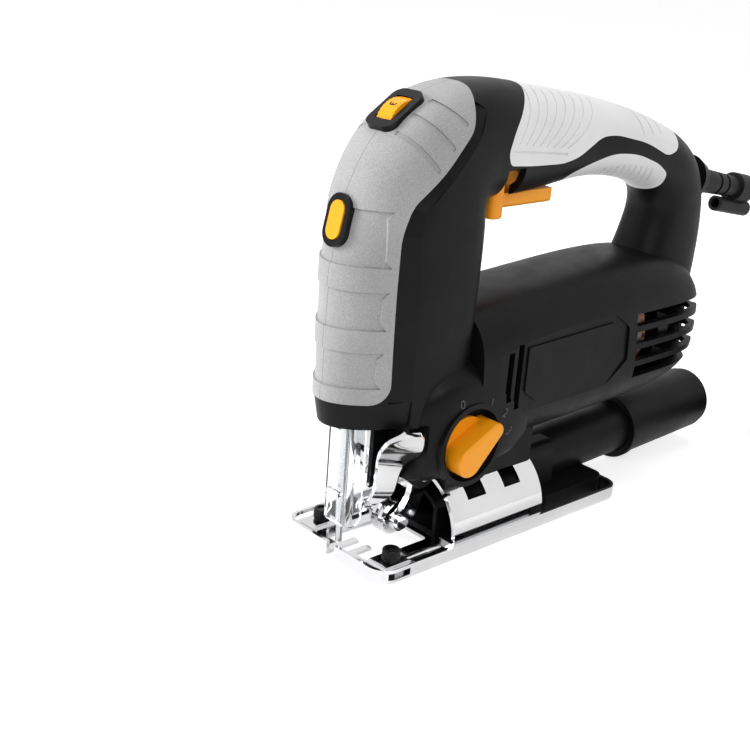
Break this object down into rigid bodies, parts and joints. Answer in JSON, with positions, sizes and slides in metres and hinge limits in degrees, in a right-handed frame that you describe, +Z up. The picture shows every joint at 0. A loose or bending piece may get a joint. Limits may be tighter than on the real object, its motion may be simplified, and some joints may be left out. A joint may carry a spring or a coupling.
{
  "type": "corded jigsaw",
  "caption": "Corded D-handle jigsaw with soft grips, speed thumbwheel, trigger, orbital selector, clear blade guard, quick blade lever, tilting steel sole, dust tube and coiled mains cord.",
  "frame": {"origin": "centre of the sole plate's underside", "axes": "+X the cutting direction, +Y the tool's left side, +Z up"},
  "size_m": [0.3793, 0.1288, 0.2079],
  "materials": {
    "body_plastic": "fine spark texture, matte black",
    "front_rubber": "grained silver grey soft grip",
    "handle_rubber": "white soft grip with fine ribs",
    "orange_plastic": "satin orange",
    "black_gloss": "satin black",
    "chrome_steel": "bright nickel plate on pressed steel",
    "steel": "turned and ground steel",
    "gear_metal": "hardened steel",
    "cast_alloy": "cast alloy",
    "bronze": "sintered bronze",
    "copper": "enamelled copper",
    "carbon": "pressed carbon",
    "clear_plastic": "clear polycarbonate",
    "black_rubber": "smooth black rubber",
    "cord_rubber": "black rubber cord sheath"
  },
  "bodies": {
    "housing": {"housing_left": "body_plastic", "housing_right": "body_plastic", "front_grip_left": "front_rubber", "front_grip_right": "front_rubber", "upper_grip_left": "handle_rubber", "upper_grip_right": "handle_rubber", "lower_grip_left": "handle_rubber", "lower_grip_right": "handle_rubber", "nose_ring": "body_plastic", "lever_pin": "steel", "gear_case": "cast_alloy", "plunger_bushes": "bronze", "front_bearing": "steel", "rear_bearing": "steel", "gear_spindle": "steel", "stator": "gear_metal", "field_coils": "copper", "brush_holders": "black_gloss", "carbon_brushes": "carbon", "button_bezel": "black_gloss", "dial_bezel": "black_gloss", "speed_control": "black_gloss", "switch_body": "black_gloss", "base_saddle": "body_plastic", "clamp_washer": "chrome_steel", "clamp_screw": "chrome_steel", "fork_pin": "steel", "finger_rod": "steel", "strain_relief": "black_rubber", "cord_clamp": "black_gloss", "hex_key_clip": "black_rubber", "cord_run": "cord_rubber", "cord_coil": "cord_rubber", "power_plug": "black_rubber", "housing_screws": "steel"},
    "armature": {"armature_shaft": "steel", "armature_core": "gear_metal", "commutator": "copper", "cooling_fan": "black_gloss"},
    "gear": {"drive_gear": "gear_metal"},
    "plunger": {"plunger": "steel", "blade_clamp": "steel"},
    "lever": {"blade_release_lever": "chrome_steel"},
    "lamp_button": {"light_button": "orange_plastic"},
    "dial": {"speed_dial": "orange_plastic"},
    "trigger": {"trigger": "orange_plastic"},
    "selector": {"orbital_selector": "orange_plastic"},
    "sole": {"sole_plate": "chrome_steel", "bevel_bracket": "chrome_steel", "sole_rivets": "chrome_steel", "dust_insert": "body_plastic"},
    "thumbscrew_left": {"guide_screw_left": "black_gloss"},
    "thumbscrew_right": {"guide_screw_right": "black_gloss"},
    "dust_sleeve": {"dust_tube": "body_plastic"},
    "guard": {"clear_guard": "clear_plastic"},
    "fork": {"roller_fork": "chrome_steel", "roller_axle": "chrome_steel"},
    "roller": {"guide_roller": "chrome_steel"}
  },
  "joints": [
    {"name": "armature_spin", "type": "hinge", "parent": "housing", "child": "armature", "pos_m": [0, 0, 0.081], "axis": [1, 0, 0], "continuous": true},
    {"name": "gear_spin", "type": "hinge", "parent": "housing", "child": "gear", "pos_m": [0.036, 0, 0.10115], "axis": [1, 0, 0], "continuous": true},
    {"name": "plunger_stroke", "type": "slide", "parent": "housing", "child": "plunger", "axis": [0, 0, -1], "range_m": [0, 0.018]},
    {"name": "lever_flip", "type": "hinge", "parent": "housing", "child": "lever", "pos_m": [0.064, 0.01, 0.037], "axis": [1, 0, 0], "range_deg": [-30, 0], "stiffness_Nm_per_rad": 0.04, "springref_deg": 22.92},
    {"name": "button_press", "type": "slide", "parent": "housing", "child": "lamp_button", "axis": [-0.9751, 0, -0.2215], "range_m": [0, 0.002], "stiffness_N_per_m": 400, "springref_m": -0.001},
    {"name": "dial_turn", "type": "hinge", "parent": "housing", "child": "dial", "pos_m": [0.0551, 0, 0.1887], "axis": [0, 1, 0], "range_deg": [0, 270]},
    {"name": "trigger_press", "type": "slide", "parent": "housing", "child": "trigger", "axis": [0, 0, 1], "range_m": [0, 0.005], "stiffness_N_per_m": 600, "springref_m": -0.002},
    {"name": "selector_turn", "type": "hinge", "parent": "housing", "child": "selector", "pos_m": [0.028, 0.03, 0.0535], "axis": [0, 1, 0], "range_deg": [-36, 72]},
    {"name": "bevel_tilt", "type": "hinge", "parent": "housing", "child": "sole", "pos_m": [0, 0, 0.005], "axis": [1, 0, 0], "range_deg": [-45, 45]},
    {"name": "thumbscrew_left_turn", "type": "hinge", "parent": "sole", "child": "thumbscrew_left", "pos_m": [0.0685, 0.0273, 0.01], "axis": [0, 0, 1], "range_deg": [0, 720]},
    {"name": "thumbscrew_right_turn", "type": "hinge", "parent": "sole", "child": "thumbscrew_right", "pos_m": [0.0685, -0.0193, 0.01], "axis": [0, 0, 1], "range_deg": [0, 720]},
    {"name": "dust_slide", "type": "slide", "parent": "sole", "child": "dust_sleeve", "axis": [-0.9992, 0, 0.0401], "range_m": [0, 0.025]},
    {"name": "guard_lift", "type": "slide", "parent": "housing", "child": "guard", "axis": [0, 0, 1], "range_m": [0, 0.016]},
    {"name": "fork_swing", "type": "hinge", "parent": "housing", "child": "fork", "pos_m": [0.036, 0, 0.033], "axis": [0, -1, 0], "range_deg": [0, 5]},
    {"name": "roller_spin", "type": "hinge", "parent": "fork", "child": "roller", "pos_m": [0.045, 0, 0.011], "axis": [0, 1, 0], "continuous": true}
  ],
  "couplings": [
    {"joint": "gear_spin", "follows": "armature_spin", "ratio": -0.19048}
  ]
}
